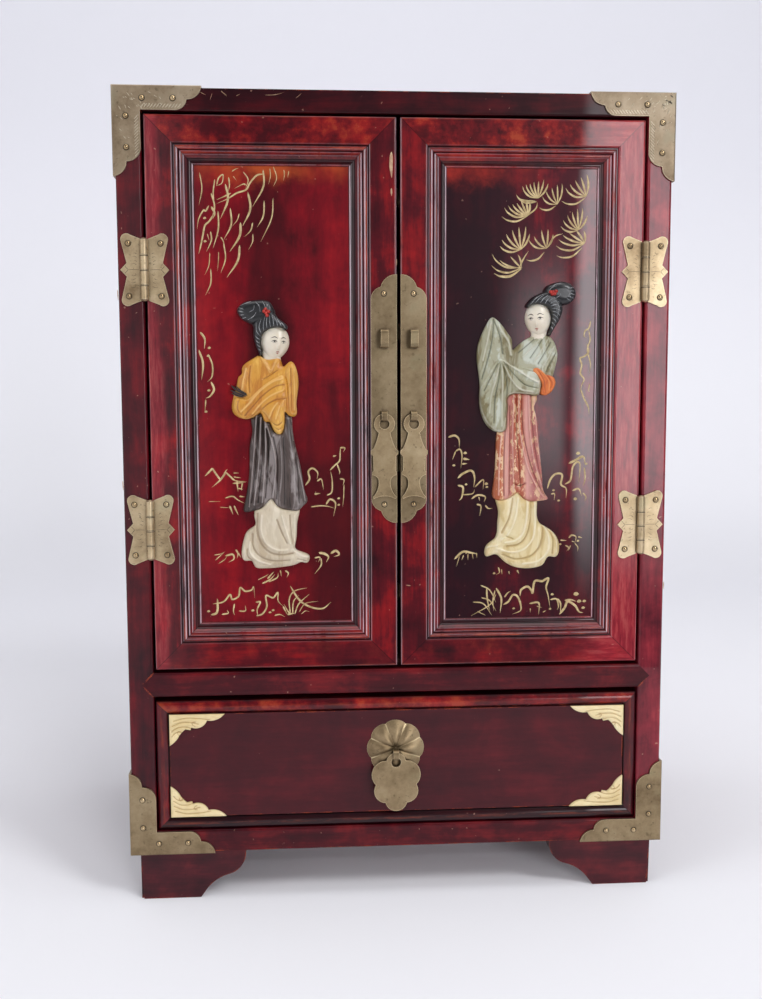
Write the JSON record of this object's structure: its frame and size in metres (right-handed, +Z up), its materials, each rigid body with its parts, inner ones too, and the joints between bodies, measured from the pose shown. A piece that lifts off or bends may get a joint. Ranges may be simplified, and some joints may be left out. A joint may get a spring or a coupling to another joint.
{
  "type": "jewelry cabinet",
  "caption": "Tabletop jewelry cabinet: lacquered case on bracket feet, two hinged panel doors with carved stone figures, small drawers inside, a wide drawer below.",
  "frame": {"origin": "middle of the footprint, on the surface that the feet stand on", "axes": "+X to the right seen from the front, +Y from the doors to the back, +Z up"},
  "size_m": [0.254, 0.1776, 0.375],
  "materials": {
    "lacquer_case": "glossy dark red lacquer",
    "lacquer_door": "glossy red lacquer, rubbed at the edges",
    "lacquer_panel": "glossy red lacquer over figured wood",
    "lacquer_drawer": "satin dark maroon lacquer",
    "lacquer_inner": "satin red lacquer",
    "stained_wood": "dark stained plain wood",
    "lining": "red velvet lining on a thin board",
    "brass": "dull antique brass",
    "bone": "carved cream stone, waxed",
    "stone_face": "carved cream soapstone with painted hair",
    "stone_orange": "polished orange soapstone",
    "stone_grey_green": "polished grey-green soapstone",
    "stone_dark": "polished dark brown soapstone",
    "stone_rose": "polished rose-brown soapstone",
    "stone_cream": "polished cream soapstone"
  },
  "bodies": {
    "case": {"back_board": "lacquer_case", "base_board": "lacquer_case", "bottom_front_rail": "lacquer_case", "case_nails": "brass", "compartment_floor": "stained_wood", "corner_mount_bottom_left": "brass", "corner_mount_bottom_right": "brass", "corner_mount_top_left": "brass", "corner_mount_top_right": "brass", "drawer_runners": "stained_wood", "foot_front_left": "lacquer_case", "foot_front_right": "lacquer_case", "foot_rear_left": "lacquer_case", "foot_rear_right": "lacquer_case", "hinge_frame_leaves": "brass", "hinge_pins": "brass", "inner_drawer_1": "lacquer_inner", "inner_drawer_2": "lacquer_inner", "inner_drawer_3": "lacquer_inner", "inner_drawer_4": "lacquer_inner", "inner_drawer_knobs": "brass", "inner_drawer_runners": "stained_wood", "left_front_stile": "lacquer_case", "left_side": "lacquer_case", "middle_front_rail": "lacquer_case", "right_front_stile": "lacquer_case", "right_side": "lacquer_case", "top_board": "lacquer_case", "top_front_rail": "lacquer_case"},
    "left_door": {"left_door_eyes": "brass", "left_door_frame": "lacquer_door", "left_door_moulding": "lacquer_door", "left_door_nails": "brass", "left_door_panel": "lacquer_panel", "left_hinge_door_leaves": "brass", "left_lady_head": "stone_face", "left_lady_jacket": "stone_orange", "left_lady_overskirt": "stone_dark", "left_lady_underskirt": "stone_cream", "left_lock_plate": "brass"},
    "right_door": {"right_door_eyes": "brass", "right_door_frame": "lacquer_door", "right_door_moulding": "lacquer_door", "right_door_nails": "brass", "right_door_panel": "lacquer_panel", "right_hinge_door_leaves": "brass", "right_lady_head": "stone_face", "right_lady_jacket": "stone_grey_green", "right_lady_overskirt": "stone_rose", "right_lady_underskirt": "stone_cream", "right_lock_plate": "brass"},
    "left_pull": {"left_door_pull": "brass"},
    "right_pull": {"right_door_pull": "brass"},
    "drawer": {"drawer_bottom": "lining", "drawer_box": "stained_wood", "drawer_corner_inlays": "bone", "drawer_front": "lacquer_drawer", "drawer_moulding": "lacquer_drawer", "drawer_rosette": "brass"},
    "drop": {"drawer_drop": "brass"}
  },
  "joints": [
    {"name": "left_door_swing", "type": "hinge", "parent": "case", "child": "left_door", "pos_m": [-0.1139, -0.0841, 0.2373], "axis": [0, 0, -1], "range_deg": [0, 175]},
    {"name": "right_door_swing", "type": "hinge", "parent": "case", "child": "right_door", "pos_m": [0.1139, -0.0841, 0.2373], "axis": [0, 0, 1], "range_deg": [0, 175]},
    {"name": "drawer_slide", "type": "slide", "parent": "case", "child": "drawer", "axis": [0, -1, 0], "range_m": [0, 0.12]},
    {"name": "left_pull_swing", "type": "hinge", "parent": "left_door", "child": "left_pull", "pos_m": [-0.0068, -0.08465, 0.22885], "axis": [-1, 0, 0], "range_deg": [0, 90]},
    {"name": "right_pull_swing", "type": "hinge", "parent": "right_door", "child": "right_pull", "pos_m": [0.0068, -0.08465, 0.22885], "axis": [-1, 0, 0], "range_deg": [0, 90]},
    {"name": "drawer_drop_swing", "type": "hinge", "parent": "drawer", "child": "drop", "pos_m": [-0.0018, -0.08545, 0.06955], "axis": [-1, 0, 0], "range_deg": [0, 90]}
  ]
}
